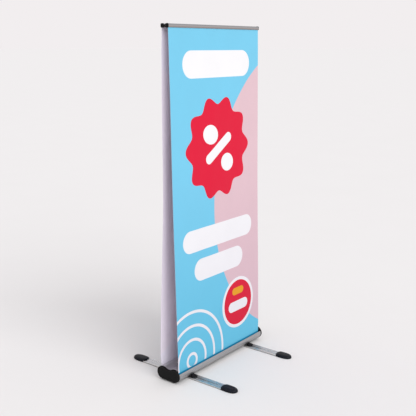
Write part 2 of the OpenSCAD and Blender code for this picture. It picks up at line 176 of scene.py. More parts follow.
class Finishes(bpy.types.PropertyGroup):
    """Colours of the metals, plastics and rubber"""

    cassette: ink("Cassette", "Satin anodised extrusion", (0.63, 0.625, 0.635))
    rail: ink("Rail", "Satin anodised top rails", (0.34, 0.345, 0.355))
    foot: ink("Foot", "Satin anodised foot bars", (0.57, 0.58, 0.60))
    # Painted light: a brighter copy of the foot metal for the bars' sides, which face the light
    foot_side: ink("Foot side", "Bright drawn sides of the foot bars", (0.68, 0.67, 0.65))
    tube: ink("Tube", "Drawn mast and roller tubes", (0.62, 0.63, 0.64))
    cap: ink("End cap", "Matt black moulding of the end caps", (0.006, 0.006, 0.006))
    moulding: ink("Moulding", "Satin black of collars, socket and plugs", (0.018, 0.018, 0.02))
    shoe: ink("Shoe", "Black of the shoes on the feet", (0.008, 0.009, 0.013))
    pad: ink("Pad", "Black rubber of the support pads", (0.009, 0.009, 0.011))
    zinc: ink("Zinc", "Zinc plated screws, bolts and shafts", (0.56, 0.57, 0.60))
    black_zinc: ink("Black zinc", "Black plated end cap screws", (0.02, 0.02, 0.022))
    spring: ink("Spring", "Oiled spring wire", (0.16, 0.15, 0.15))
    satin: share("Satin", "Roughness of the anodised metal", 0.36)


class Studio(bpy.types.PropertyGroup):
    """Floor, lights and camera"""

    floor: ink("Floor", "Colour of the floor", (0.72, 0.72, 0.72))
    sky_tint: ink("Sky tint", "Colour of the even light", (0.887, 0.855, 0.863))
    sky_light: amount("Sky light", "Strength of the even light", 1.0, 0)
    key_strength: amount("Key light", "Strength of the soft key light", 1.89, 0)
    key_turn: turning("Key turn", "Turn of the key light from the front towards +X", -15)
    key_rise: turning("Key rise", "Height of the key light above the horizon", 34)
    key_spread: turning("Key spread", "Apparent width of the key light", 50)
    camera_x: length("Camera X", "Place of the camera along the cassette", -3.403, -20, 20)
    camera_y: length("Camera Y", "Place of the camera across the cassette", -2.609, -20, 20)
    camera_z: length("Camera Z", "Height of the camera", 1.963, 0, 10)
    camera_turn: turning("Camera turn", "Turn of the camera from +Y towards +X", 52.11)
    camera_dip: turning("Camera dip", "Dip of the camera below the horizon", 14.99)
    lens: amount("Lens", "Focal length on a 36 mm sensor, in millimetres", 61.68, 10)
    rise: amount("Rise", "Upward shift of the camera", 0.0697)


class BannerStand(bpy.types.PropertyGroup):
    """All settings of the stand"""

    film: PointerProperty(type=BannerFilm)
    cassette: PointerProperty(type=CassetteMetal)
    rail: PointerProperty(type=RailMetal)
    foot: PointerProperty(type=FootMetal)
    finish: PointerProperty(type=Finishes)
    studio: PointerProperty(type=Studio)


def settings():
    return bpy.context.scene.banner_stand


# ---- Mesh making ----

def finished(name, shape, material, sharp=32):
    """Turns bmesh data into a named object with smooth faces and crisp edges."""
    bmesh.ops.recalc_face_normals(shape, faces=shape.faces)
    limit = math.radians(sharp)
    for face in shape.faces:
        face.smooth = True
    for edge in shape.edges:
        if len(edge.link_faces) == 2:
            edge.smooth = edge.calc_face_angle(0) < limit
    mesh = bpy.data.meshes.new(name)
    shape.to_mesh(mesh)
    shape.free()
    piece = bpy.data.objects.new(name, mesh)
    bpy.context.scene.collection.objects.link(piece)
    for m in material if isinstance(material, (list, tuple)) else [material]:
        mesh.materials.append(m)
    return piece


def skin(shape, rings, closed=True, ends=True):
    """Joins rings of the same number of points with quads, and closes the two ends."""
    loops = [[shape.verts.new(p) for p in ring] for ring in rings]
    count = len(loops[0])
    for a, b in zip(loops, loops[1:]):
        for i in range(count if closed else count - 1):
            j = (i + 1) % count
            shape.faces.new((a[i], a[j], b[j], b[i]))
    if ends:
        shape.faces.new(loops[0][::-1])
        shape.faces.new(loops[-1])
    return loops


def bar(shape, section, holes, start, end, place):
    """A straight bar: a flat section with holes, swept from start to end.

    place makes a point from along, across and up.
    """
    loops = [section] + holes
    near, far = [
        [[shape.verts.new(place(at, p[0], p[1])) for p in loop] for loop in loops]
        for at in (start, end)
    ]
    for a, b in zip(near, far):
        for i in range(len(a)):
            j = (i + 1) % len(a)
            shape.faces.new((a[i], a[j], b[j], b[i]))
    triangles = tessellate_polygon([[Vector((p[0], p[1], 0)) for p in loop] for loop in loops])
    for side in (near, far):
        points = [v for loop in side for v in loop]
        for t in triangles:
            shape.faces.new([points[i] for i in t])


def along_x(at, across, up):
    return (at, across, up)


def along_y(at, across, up):
    return (across, at, up)


def turned_rings(profile, centre, steps, axis, swell):
    """Rings of points round an upright or lengthwise axis, from a list of (radius, height)."""
    rings = []
    for radius, height in profile:
        ring = []
        for k in range(steps):
            a = FULL_TURN * k / steps
            r = radius + (swell(a, radius, height) if swell else 0)
            u, v = r * math.cos(a), r * math.sin(a)
            ring.append(Vector(centre) + Vector((u, v, height) if axis == "Z" else (height, u, v)))
        rings.append(ring)
    return rings


def turned(shape, profile, centre, steps=72, axis="Z"):
    """A turned piece, solid from its first ring to its last."""
    return skin(shape, turned_rings(profile, centre, steps, axis, None))


def hollow_turned(shape, profile, centre, steps=72, swell=None):
    """A turned ring: its last point joins its first. swell changes the radius with the angle."""
    rings = turned_rings(profile, centre, steps, "Z", swell)
    return skin(shape, rings + [rings[0]], ends=False)


def arc(centre, radius, start, end, steps):
    """Points on an arc in a flat section, from one angle to another in degrees."""
    points = []
    for k in range(steps + 1):
        a = math.radians(start + (end - start) * k / steps)
        points.append((centre[0] + radius * math.cos(a), centre[1] + radius * math.sin(a)))
    return points


def mirrored(points):
    return [(-p[0], p[1]) for p in reversed(points)]


def rounded_box(low, high, radius, steps=5):
    """Outline of a rectangle with round corners, from two opposite corners."""
    points = []
    (left, bottom), (right, top) = low, high
    corners = ((right, top, 0), (left, top, 90), (left, bottom, 180), (right, bottom, 270))
    for cx, cy, a in corners:
        sx = -1 if cx == high[0] else 1
        sy = -1 if cy == high[1] else 1
        points += arc((cx + sx * radius, cy + sy * radius), radius, a, a + 90, steps)
    return points


def carve(piece, cutters, added=()):
    """Adds and cuts simple shapes into a piece, and removes them."""
    for tool in [*added, *cutters]:
        change = piece.modifiers.new("change", "BOOLEAN")
        change.operation = "UNION" if tool in added else "DIFFERENCE"
        change.solver = "EXACT"
        change.object = tool
    settle(piece)
    for tool in [*added, *cutters]:
        bpy.data.objects.remove(tool)


def settle(piece):
    """Writes a piece's modifiers into its mesh."""
    graph = bpy.context.evaluated_depsgraph_get()
    graph.update()
    mesh = bpy.data.meshes.new_from_object(
        piece.evaluated_get(graph), preserve_all_data_layers=True, depsgraph=graph
    )
    piece.modifiers.clear()
    piece.data = mesh


def cutter(profile, centre, steps=64, axis="Z"):
    shape = bmesh.new()
    turned(shape, profile, centre, steps, axis)
    return finished("cutting_tool", shape, [])


def smooth_through(knots, t):
    """A smooth curve through (place, value) knots."""
    for (a, va), (b, vb) in zip(knots, knots[1:]):
        if t <= b:
            s = min(max((t - a) / (b - a), 0), 1)
            return va + (vb - va) * s * s * (3 - 2 * s)
    return knots[-1][1]


# ---- Finishes ----

class Nodes:
    """Short hand for a material's node tree."""

    def __init__(self, name):
        self.material = bpy.data.materials.new(name)
        self.material.use_nodes = True
        self.tree = self.material.node_tree
        self.shader = next(n for n in self.tree.nodes if n.type == "BSDF_PRINCIPLED")

    def add(self, kind, inputs=None, **options):
        node = self.tree.nodes.new(kind)
        for key, value in options.items():
            setattr(node, key, value)
        for key, value in (inputs or {}).items():
            if isinstance(value, bpy.types.NodeSocket):
                self.tree.links.new(value, node.inputs[key])
            else:
                node.inputs[key].default_value = value
        return node

    def math(self, operation, a, b=0.0, c=0.0, clamp=False):
        inputs = {0: a, 1: b, 2: c}
        return self.add("ShaderNodeMath", inputs, operation=operation, use_clamp=clamp).outputs[0]

    def vector(self, operation, a, b=(0, 0, 0)):
        return self.add("ShaderNodeVectorMath", {0: a, 1: b}, operation=operation)

    def placed(self, scale, turn=(0, 0, 0)):
        """The piece's own coordinates, stretched."""
        where = self.add("ShaderNodeTexCoord").outputs["Object"]
        inputs = {"Vector": where, "Scale": scale, "Rotation": turn}
        return self.add("ShaderNodeMapping", inputs).outputs[0]

    def noise(self, at, scale, detail=3.0, rough=0.55):
        inputs = {"Vector": at, "Scale": scale, "Detail": detail, "Roughness": rough}
        return self.add("ShaderNodeTexNoise", inputs).outputs["Fac"]

    def between(self, value, low, high, to_low, to_high):
        limits = {"From Min": low, "From Max": high, "To Min": to_low, "To Max": to_high}
        return self.add("ShaderNodeMapRange", {"Value": value, **limits}).outputs[0]

    def mix(self, factor, a, b):
        node = self.add("ShaderNodeMix", data_type="RGBA")
        for socket, value in zip((node.inputs[0], node.inputs[6], node.inputs[7]), (factor, a, b)):
            if isinstance(value, bpy.types.NodeSocket):
                self.tree.links.new(value, socket)
            elif socket.type == "RGBA":
                socket.default_value = (*value, 1)
            else:
                socket.default_value = value
        return node.outputs[2]

    def bump(self, height, distance, strength=1.0, under=None):
        inputs = {"Height": height, "Distance": distance, "Strength": strength}
        if under:
            inputs["Normal"] = under
        return self.add("ShaderNodeBump", inputs).outputs[0]

    def finish(self, colour, roughness, normal=None, **plain):
        links = self.tree.links
        for key, value in (("Base Color", colour), ("Roughness", roughness)):
            if isinstance(value, bpy.types.NodeSocket):
                links.new(value, self.shader.inputs[key])
            elif key == "Base Color":
                self.shader.inputs[key].default_value = (*value, 1)
            else:
                self.shader.inputs[key].default_value = value
        if normal:
            links.new(normal, self.shader.inputs["Normal"])
        for key, value in plain.items():
            self.shader.inputs[key.replace("_", " ")].default_value = value
        return self.material


def tint(colour, factor):
    return tuple(min(1.0, c * factor) for c in colour)


def satin_metal(name, colour, roughness, grain, painted_light_bands=()):
    """Anodised extrusion: long die lines, faint cloudiness and handling marks.

    Its bands paint light and shade: each is (height, blend, tint below it).
    """
    n = Nodes(name)
    lines = n.noise(n.placed(grain), 3.0, 4.0, 0.6)
    cloud = n.noise(n.placed((1, 1, 1)), 9.0, 4.0)
    marks = n.noise(n.placed((18, 140, 140), (0.2, 0.5, 0.3)), 2.2, 2.0)
    shade = n.mix(n.between(lines, 0.3, 0.7, 0, 1), tint(colour, 0.93), tint(colour, 1.06))
    shade = n.mix(n.between(cloud, 0.35, 0.7, 0.0, 0.35), shade, tint(colour, 0.90))
    scuffs = n.between(marks, 0.66, 0.74, 0.0, 1.0)
    shade = n.mix(n.math("MULTIPLY", scuffs, 0.25), shade, tint(colour, 1.15))
    height = n.add("ShaderNodeSeparateXYZ", {0: n.add("ShaderNodeTexCoord").outputs["Object"]}).outputs[2]
    # Each band tints the colour below its height: painted light and shade
    for level, blend, below in painted_light_bands:
        painted_light_tone = n.vector("MULTIPLY", shade, below).outputs[0]
        shade = n.mix(n.between(height, level - blend, level + blend, 1.0, 0.0), shade, painted_light_tone)
    blotch = n.math("MULTIPLY_ADD", lines, 0.4, n.math("MULTIPLY", cloud, 0.6))
    rough = n.between(blotch, 0.3, 0.7, roughness - 0.06, roughness + 0.07)
    normal = n.bump(lines, 0.00004, 0.35)
    normal = n.bump(scuffs, 0.00003, 0.2, normal)
    return n.finish(shade, rough, normal, Metallic=0.92)


def drawn_tube(name, colour, roughness, grain=(260, 260, 1.2)):
    """Drawn aluminium tube: fine draw lines along it and dull rings where tubes slide."""
    n = Nodes(name)
    lines = n.noise(n.placed(grain), 3.0, 4.0, 0.6)
    dull = n.noise(n.placed((2, 2, 30)), 4.0, 3.0)
    shade = n.mix(n.between(lines, 0.3, 0.7, 0, 1), tint(colour, 0.9), tint(colour, 1.08))
    shade = n.mix(n.between(dull, 0.5, 0.8, 0.0, 0.4), shade, tint(colour, 0.8))
    rough = n.between(dull, 0.3, 0.7, roughness - 0.05, roughness + 0.1)
    return n.finish(shade, rough, n.bump(lines, 0.00004, 0.3), Metallic=1.0)


def moulded(name, colour, roughness, grain_size=1500.0, depth=0.00006, edge=2.2, shine=0.11):
    """Moulded black plastic or rubber: spark-eroded grain, cloudy sheen and paler worn edges."""
    n = Nodes(name)
    at = n.placed((1, 1, 1))
    grain = n.noise(at, grain_size, 2.0, 0.6)
    cloud = n.noise(at, 22.0, 4.0)
    worn = n.between(n.add("ShaderNodeNewGeometry").outputs["Pointiness"], 0.52, 0.62, 0.0, 1.0)
    worn = n.math("MULTIPLY", worn, n.between(cloud, 0.4, 0.65, 0.2, 1.0))
    shade = n.mix(n.between(cloud, 0.3, 0.7, 0, 1), tint(colour, 0.82), tint(colour, 1.25))
    shade = n.mix(n.math("MULTIPLY", worn, 0.6), shade, tint(colour, edge))
    blotch = n.math("MULTIPLY_ADD", grain, 0.5, n.math("MULTIPLY", cloud, 0.5))
    rough = n.between(blotch, 0.3, 0.7, roughness - 0.07, roughness + 0.08)
    n.shader.inputs["Specular IOR Level"].default_value = shine
    return n.finish(shade, rough, n.bump(grain, depth, 0.6))


def plated_steel(name, colour, roughness):
    """Zinc plated or oiled steel: mottled colour and small bright marks."""
    n = Nodes(name)
    at = n.placed((1, 1, 1))
    mottle = n.noise(at, 160.0, 4.0)
    marks = n.noise(at, 700.0, 2.0)
    shade = n.mix(n.between(mottle, 0.35, 0.65, 0, 1), tint(colour, 0.78), tint(colour, 1.12))
    rough = n.between(mottle, 0.3, 0.7, roughness - 0.08, roughness + 0.1)
    return n.finish(shade, rough, n.bump(marks, 0.00005, 0.4), Metallic=1.0)


def film_weave(n, at):
    """Fine weave of the film's carrier cloth."""
    thread = {"Vector": at, "Scale": 160.0, "Distortion": 0.4, "Detail": 1.0}
    warp, weft = [
        n.add("ShaderNodeTexWave", thread, bands_direction=way).outputs["Fac"] for way in "XY"
    ]
    return n.math("MULTIPLY", warp, weft)


class Print:
    """Paints flat shapes on a sheet, placed in metres from its lower left corner."""

    def __init__(self, n, ground):
        self.n = n
        self.at = n.add("ShaderNodeUVMap", uv_map="sheet").outputs[0]
        self.shade = n.mix(0.0, ground, ground)

    def paint(self, mask, colour):
        self.shade = self.n.mix(mask, self.shade, colour)

    def reach(self, centre):
        return self.n.vector("DISTANCE", self.at, (*centre, 0)).outputs["Value"]

    def disc(self, centre, radius, colour):
        self.paint(self.n.math("LESS_THAN", self.reach(centre), radius), colour)

    def ring(self, centre, outer, width, colour):
        off = self.n.math("ABSOLUTE", self.n.math("SUBTRACT", self.reach(centre), outer - width / 2))
        self.paint(self.n.math("LESS_THAN", off, width / 2), colour)

    def stroke(self, start, end, radius, colour):
        """A bar with round ends between two points."""
        n = self.n
        way = (end[0] - start[0], end[1] - start[1], 0)
        from_start = n.vector("SUBTRACT", self.at, (*start, 0)).outputs[0]
        reached = n.vector("DOT_PRODUCT", from_start, way).outputs["Value"]
        along = n.math("MULTIPLY", reached, 1 / (way[0] ** 2 + way[1] ** 2), clamp=True)
        nearest = n.add("ShaderNodeVectorMath", {0: way, "Scale": along}, operation="SCALE").outputs[0]
        off = n.vector("DISTANCE", from_start, nearest).outputs["Value"]
        self.paint(n.math("LESS_THAN", off, radius), colour)

    def local(self, centre, size, turn=0.0):
        """Coordinates about a centre, turned, and in units of the shape's own size."""
        where = {"Location": (*centre, 0), "Rotation": (0, 0, turn), "Scale": (*size, 1)}
        mapping = self.n.add("ShaderNodeMapping", {"Vector": self.at, **where}, vector_type="TEXTURE")
        return mapping.outputs[0]

    def oval(self, centre, size, turn, colour):
        reach = self.n.vector("LENGTH", self.local(centre, size, turn)).outputs["Value"]
        self.paint(self.n.math("LESS_THAN", reach, 1.0), colour)

    def rosette(self, centre, radius, depth, lobes, colour):
        """A round badge with a scalloped edge."""
        n = self.n
        here = self.local(centre, (1, 1))
        axes = n.add("ShaderNodeSeparateXYZ", {0: here}).outputs
        turn = n.math("ARCTAN2", axes[1], axes[0])
        scallop = n.math("COSINE", n.math("MULTIPLY", turn, float(lobes)))
        edge = n.math("MULTIPLY_ADD", scallop, depth, radius)
        self.paint(n.math("LESS_THAN", n.vector("LENGTH", here).outputs["Value"], edge), colour)


# Height of the painted slot shadow at the foot of each film
SLOT_SHADE_HEIGHT = 0.070
RINGS_CENTRE, RING_WIDTH = (0.133, 0.105), 0.018
RING_RADII = (0.053, 0.142, 0.230, 0.318)
SCALLOP_CENTRE, BADGE_CENTRE = (0.4275, 1.374), (0.617, 0.345)
SIGN_TURN = math.radians(-12)


def print_design(n, film):
    """The banner's print as flat shapes, placed from the sheet's lower left corner."""
    # The sky ground darkens towards the foot: painted shade
    p = Print(n, film.sky_low_shaded)
    height = n.add("ShaderNodeSeparateXYZ", {0: p.at}).outputs[1]
    p.paint(n.between(height, 0.15, 1.15, 0.0, 1.0), film.sky)
    p.disc((1.374, 1.000), 0.996, film.blush)
    p.rosette(SCALLOP_CENTRE, 0.284, 0.0245, 10, film.signal)
    p.oval((0.355, 1.459), (0.071, 0.057), SIGN_TURN, film.paper)
    p.oval((0.5145, 1.280), (0.061, 0.054), SIGN_TURN, film.paper)
    p.stroke((0.337, 1.316), (0.528, 1.430), 0.030, film.paper)
    for left, right, at, radius in (
        (0.187, 0.676, 1.8635, 0.0765),
        (0.143, 0.7045, 0.8475, 0.0675),
        (0.244, 0.6015, 0.6585, 0.0685),
    ):
        p.stroke((left, at), (right, at), radius, film.paper)
    for radius in RING_RADII:
        p.ring(RINGS_CENTRE, radius, RING_WIDTH, film.paper)
    p.disc(BADGE_CENTRE, 0.171, film.paper)
    p.disc(BADGE_CENTRE, 0.150, film.signal)
    p.stroke((0.580, 0.424), (0.654, 0.424), 0.024, film.amber)
    p.stroke((0.548, 0.323), (0.688, 0.323), 0.034, film.paper)
    # Painted shade where the film dips into its slot
    p.paint(n.math("LESS_THAN", height, SLOT_SHADE_HEIGHT), film.slot_shade)
    return p


def printed_film(name, film):
    """Matt printed banner film."""
    n = Nodes(name)
    p = print_design(n, film)
    cloud = n.noise(n.placed((1, 1, 1)), 5.0, 3.0)
    weave = film_weave(n, p.at)
    dim = n.math("MULTIPLY_ADD", weave, -0.03, n.between(cloud, 0.3, 0.7, 0.985, 1.015))
    shade = n.add("ShaderNodeVectorMath", {0: p.shade, "Scale": dim}, operation="SCALE").outputs[0]
    height = n.add("ShaderNodeSeparateXYZ", {0: p.at}).outputs[1]
    # Painted shade: the whole print darkens towards the film's foot
    painted_low_shade = n.vector("MULTIPLY", shade, (0.85, 0.84, 0.88)).outputs[0]
    shade = n.mix(n.between(height, 0.25, 1.35, 1.0, 0.0), shade, painted_low_shade)
    rough = n.between(cloud, 0.3, 0.7, 0.46, 0.56)
    n.shader.inputs["Specular IOR Level"].default_value = 0.15
    return n.finish(shade, rough, n.bump(weave, 0.00008, 0.25))


def film_back(name, film):
    """The grey unprinted side, with the print showing through a little."""
    n = Nodes(name)
    p = print_design(n, film)
    cloud = n.noise(n.placed((1, 1, 1)), 4.0, 4.0)
    weave = film_weave(n, p.at)
    grey = n.mix(n.between(cloud, 0.3, 0.7, 0, 1), tint(film.backing, 0.97), tint(film.backing, 1.03))
    shade = n.mix(film.show_through, grey, p.shade)
    n.shader.inputs["Specular IOR Level"].default_value = 0.25
    return n.finish(shade, 0.6, n.bump(weave, 0.00008, 0.3))


def plain_film(name, colour, roughness=0.6):
    """The outer turn of a roll of film."""
    n = Nodes(name)
    at = n.placed((1, 1, 1))
    cloud = n.noise(at, 4.0, 4.0)
    weave = film_weave(n, at)
    shade = n.mix(n.between(cloud, 0.3, 0.7, 0, 1), tint(colour, 0.95), tint(colour, 1.05))
    rough = n.between(cloud, 0.3, 0.7, roughness - 0.05, roughness + 0.05)
    return n.finish(shade, rough, n.bump(weave, 0.00008, 0.3))


def rail_reflection_bands():
    """The rail's face, a painted reflection: cool and lighter above its bright ridge, warm and darker
    below it.
    """
    middle = (RAIL_LOW.z + RAIL_HIGH.z) / 2
    off, blend = 0.0022, 0.0008
    return [(middle + off, blend, (1.32, 1.24, 1.20)), (middle - off, blend, (0.78, 0.72, 0.70))]


# Painted shade: tints of the cassette below its lip and under its lobes, and a painted shadow along a
# foot bar's lower edge
CASSETTE_SHADE_BANDS = [(0.070, 0.004, (0.66, 0.66, 0.66)), (0.026, 0.009, (0.36, 0.35, 0.36))]
# Painted shadow: a dark line along the bottom of each foot bar's sides
FOOT_SIDE_SHADOW_BANDS = [(BAR_LOW.z + 0.0022, 0.0004, (0.12, 0.12, 0.12))]
GRAIN_X, GRAIN_Y = (1.2, 260, 260), (260, 1.2, 260)


def finish_of(name):
    """The named finish, made the first time it is asked for."""
    if name in bpy.data.materials:
        return bpy.data.materials[name]
    f, film = settings().finish, settings().film
    maker, *values = {
        "cassette satin": (satin_metal, f.cassette, f.satin, GRAIN_X, CASSETTE_SHADE_BANDS),
        "rail satin": (satin_metal, f.rail, f.satin, GRAIN_X, rail_reflection_bands()),
        "foot satin": (satin_metal, f.foot, f.satin - 0.12, GRAIN_Y),
        "foot side": (satin_metal, f.foot_side, f.satin, GRAIN_Y, FOOT_SIDE_SHADOW_BANDS),
        "mast tube": (drawn_tube, f.tube, 0.28),
        "roller tube": (drawn_tube, f.tube, 0.32, GRAIN_X),
        "end cap moulding": (moulded, f.cap, 0.56),
        "satin moulding": (moulded, f.moulding, 0.42, 2200.0, 0.00004),
        "shoe moulding": (moulded, f.shoe, 0.42, 1200.0, 0.00006, 3.0),
        "pad rubber": (moulded, f.pad, 0.62, 900.0, 0.0001),
        "zinc plate": (plated_steel, f.zinc, 0.32),
        "black zinc": (plated_steel, f.black_zinc, 0.45),
        "spring wire": (plated_steel, f.spring, 0.38),
        "printed film": (printed_film, film),
        "film backing": (film_back, film),
        "wound film": (plain_film, film.sky, 0.48),
    }[name]
    return maker(name, *values)


def keep_node(node, finish):
    """A CAD node whose shape is right keeps it and gets a real finish."""
    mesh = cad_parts[node].data
    mesh.materials.clear()
    mesh.materials.append(finish_of(finish))
    for face in mesh.polygons:
        face.material_index = 0


def stand_for(piece, body, slot, *nodes):
    """The piece rides on a body and stands for CAD nodes; slot is not used."""
    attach(piece, body)
    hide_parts(*nodes)
    return piece


# ---- Cassette ----

def valley_curve(c):
    """Radius and centre height of the arc that joins the two lobes, and the lobe's end angle."""
    rise = LOBE_RADIUS - c.valley
    radius = (LOBE_Y**2 + rise**2 - LOBE_RADIUS**2) / (2 * (LOBE_RADIUS - rise))
    centre_z = LOBE_Z + rise + radius
    return radius, centre_z, math.degrees(math.atan2(centre_z - LOBE_Z, -LOBE_Y))


def kidney(c, grow, steps=40):
    """Outline of the cassette's end with grow added all round, rear half first."""
    radius, centre_z, lean = valley_curve(c)
    lobe = arc((LOBE_Y, LOBE_Z), LOBE_RADIUS + grow, -90, lean, steps)
    dip = arc((0, centre_z), radius - grow, lean - 180, -90, 12)
    half = lobe + dip[1:]
    return half + mirrored(half)[1:]


WEB_Y, CHANNEL_Y = 0.021, 0.019
LIP_BEAD = 1.25
SOCKET_GAP = 0.0003


def cassette_section(c):
    """The extrusion: outer skin, the two roller rooms open at their slots, and the channel."""
    radius, centre_z, lean = valley_curve(c)
    outer, inner = LOBE_RADIUS, LOBE_RADIUS - c.wall
    lip = math.degrees(math.asin((c.lip_height - LOBE_Z) / outer))
    back = math.degrees(math.acos((c.lip_depth - LOBE_Y) / outer))
    reach = math.sqrt(inner**2 - (LOBE_Y - WEB_Y) ** 2)
    low = math.degrees(math.atan2(-reach, WEB_Y - LOBE_Y))
    top = math.degrees(math.atan2(reach, WEB_Y - LOBE_Y))
    centre = (LOBE_Y, LOBE_Z)

    def bead_at(angle, turn):
        [spot, _] = arc(centre, (outer + inner) / 2, angle, angle, 1)
        return arc(spot, c.wall / 2 * LIP_BEAD, angle + turn, angle + turn + 180, 8)

    half = arc(centre, outer, -90, lip - 1, 30)
    half += bead_at(lip, 0)[1:-1]
    half += arc(centre, inner, lip - 1, low, 30)
    half += arc(centre, inner, top, back + 1, 8)
    half += bead_at(back, 180)[1:-1]
    half += arc(centre, outer, back + 1, lean, 14)
    half += arc((0, centre_z), radius, lean - 180, -90, 12)[1:]
    floor = CASSETTE_LOW.z + c.wall
    roof = LOBE_Z + LOBE_RADIUS - c.valley - c.wall
    channel = rounded_box((-CHANNEL_Y, floor), (CHANNEL_Y, roof), 0.0012, 3)
    return half + mirrored(half)[1:], [channel]


class STAND_OT_cassette(bpy.types.Operator):
    """Make the twin-lobed aluminium extrusion with its two banner slots"""

    bl_idname = "stand.cassette"
    bl_label = "Cassette extrusion"

    def execute(self, context):
        c = settings().cassette
        section, holes = cassette_section(c)
        shape = bmesh.new()
        bar(shape, section, holes, CASSETTE_LOW.x, CASSETTE_HIGH.x, along_x)
        piece = finished("cassette_extrusion", shape, finish_of("cassette satin"), 28)
        mouth = SOCKET_HIGH.y + SOCKET_GAP
        carve(piece, [cutter([(mouth, 0.072), (mouth, 0.1)], (0, 0, 0))])
        stand_for(piece, "cassette", "cassette_aluminium", "cassette_body")
        return {"FINISHED"}


PORTS = [(-0.0795, 0.050), (-0.0245, 0.0215), (0.0245, 0.0215), (0.0795, 0.050)]
SCREW_HOLE = 0.0040
# The screw's outline from its point to its head: radius, and place from the cap's face
SCREW_PROFILE = [
    (0.0019, -0.0166), (0.0019, -0.0030), (0.0037, -0.0029), (0.0037, -0.0016),
    (0.0034, -0.0010), (0.0026, -0.0006), (0.0012, -0.0004),
]
CROSS_LONG, CROSS_WIDE = 0.0022, 0.0005
CROSS_DEPTH = 0.0016


class STAND_OT_end_caps(bpy.types.Operator):
    """Make the two kidney-shaped moulded end caps with their countersunk holes"""

    bl_idname = "stand.end_caps"
    bl_label = "Cassette end caps"

    def execute(self, context):
        c = settings().cassette
        over = CAP_HIGH.y - CASSETTE_HIGH.y
        deep = CASSETTE_LOW.x - CAP_LOW.x
        edge, rim, panel = c.cap_edge, over - c.cap_edge, deep - c.cap_panel
        profile = [(over - 0.0004, -0.0030), (over, -0.0026), (over, deep - edge)]
        profile += [
            (over - edge * (1 - math.cos(a)), deep - edge * (1 - math.sin(a)))
            for a in (0.35, 0.7, 1.05, 1.35)
        ]
        profile += [
            (rim, deep), (rim - 0.0022, deep), (rim - 0.0030, panel), (rim - 0.009, panel),
            (-0.022, deep - c.cap_panel * 0.5),
        ]
        for side, name in ((-1, "left_end_cap"), (1, "right_end_cap")):
            start = side * abs(CASSETTE_LOW.x)
            shape = bmesh.new()
            skin(shape, [
                [(start + side * out, y, z) for y, z in kidney(c, grow)] for grow, out in profile
            ])
            piece = finished("moulded_" + name, shape, finish_of("end cap moulding"), 50)
            hole = [(SCREW_HOLE, -0.003), (SCREW_HOLE, 0.003)]
            face = start + side * deep
            carve(piece, [cutter(hole, (face, y, z), 32, "X") for y, z in PORTS])
            stand_for(piece, "cassette", "cap_plastic", name)
        return {"FINISHED"}


class STAND_OT_cap_screws(bpy.types.Operator):
    """Make the pan-head screws with cross recesses in the end caps"""

    bl_idname = "stand.cap_screws"
    bl_label = "End cap screws"

    def execute(self, context):
        shape = bmesh.new()
        face = abs(CAP_LOW.x)
        places = [(side, y, z) for side in (-1, 1) for y, z in PORTS]
        for side, y, z in places:
            outline = [(r, side * (face + x)) for r, x in SCREW_PROFILE]
            turned(shape, outline, (0, y, z), 32, "X")
        piece = finished("end_cap_screw_set", shape, finish_of("black zinc"), 35)
        cuts = []
        for side, y, z in places:
            for u, v in ((CROSS_LONG, CROSS_WIDE), (CROSS_WIDE, CROSS_LONG)):
                cross = bmesh.new()
                box = [(y - u, z - v), (y + u, z - v), (y + u, z + v), (y - u, z + v)]
                bar(cross, box, [], side * (face - CROSS_DEPTH), side * (face + 0.001), along_x)
                cuts.append(finished("cutting_tool", cross, []))
        carve(piece, cuts)
        stand_for(piece, "cassette", "black_steel", "end_cap_screws")
        return {"FINISHED"}


HEEL_RADIUS, HEEL_Y = 0.0098, 0.075


class STAND_OT_support_pads(bpy.types.Operator):
    """Make the round rubber pads under the lobes that bear on the feet"""

    bl_idname = "stand.support_pads"
    bl_label = "Support pads"

    def execute(self, context):
        c = settings().cassette
        low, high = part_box("support_pads")
        radius = high.x - PIVOT_X
        centre_y = high.y - radius
        bottom, top, e = low.z, low.z + c.pad_thickness, c.pad_edge
        profile = [
            (radius - 0.0025, bottom), (radius - 0.0008, bottom + 0.0004), (radius, bottom + 0.0015),
        ]
        profile += [
            (radius - e * (1 - math.cos(a)), top - e * (1 - math.sin(a))) for a in (0, 0.4, 0.8, 1.2)
        ]
        rim = radius - e
        profile += [
            (rim - 0.0005, top), (rim - 0.0030, top), (rim - 0.0038, top - 0.0009), (0.004, top - 0.0010),
        ]
        heel = [(HEEL_RADIUS, bottom + 0.001), (HEEL_RADIUS, high.z)]
        discs, heels = bmesh.new(), bmesh.new()
        for x in (-PIVOT_X, PIVOT_X):
            for side in (-1, 1):
                turned(discs, profile, (x, side * centre_y, 0), 72)
                turned(heels, heel, (x, side * HEEL_Y, 0), 48)
        rubber = finish_of("pad rubber")
        piece = finished("rubber_support_pads", discs, rubber, 40)
        lobe = [(LOBE_RADIUS, -0.4), (LOBE_RADIUS, 0.4)]
        lobes = [cutter(lobe, (0, y, LOBE_Z), 160, "X") for y in (-LOBE_Y, LOBE_Y)]
        carve(piece, lobes, [finished("adding_tool", heels, rubber)])
        stand_for(piece, "cassette", "pad_rubber", "support_pads")
        return {"FINISHED"}


# ---- Top rails ----

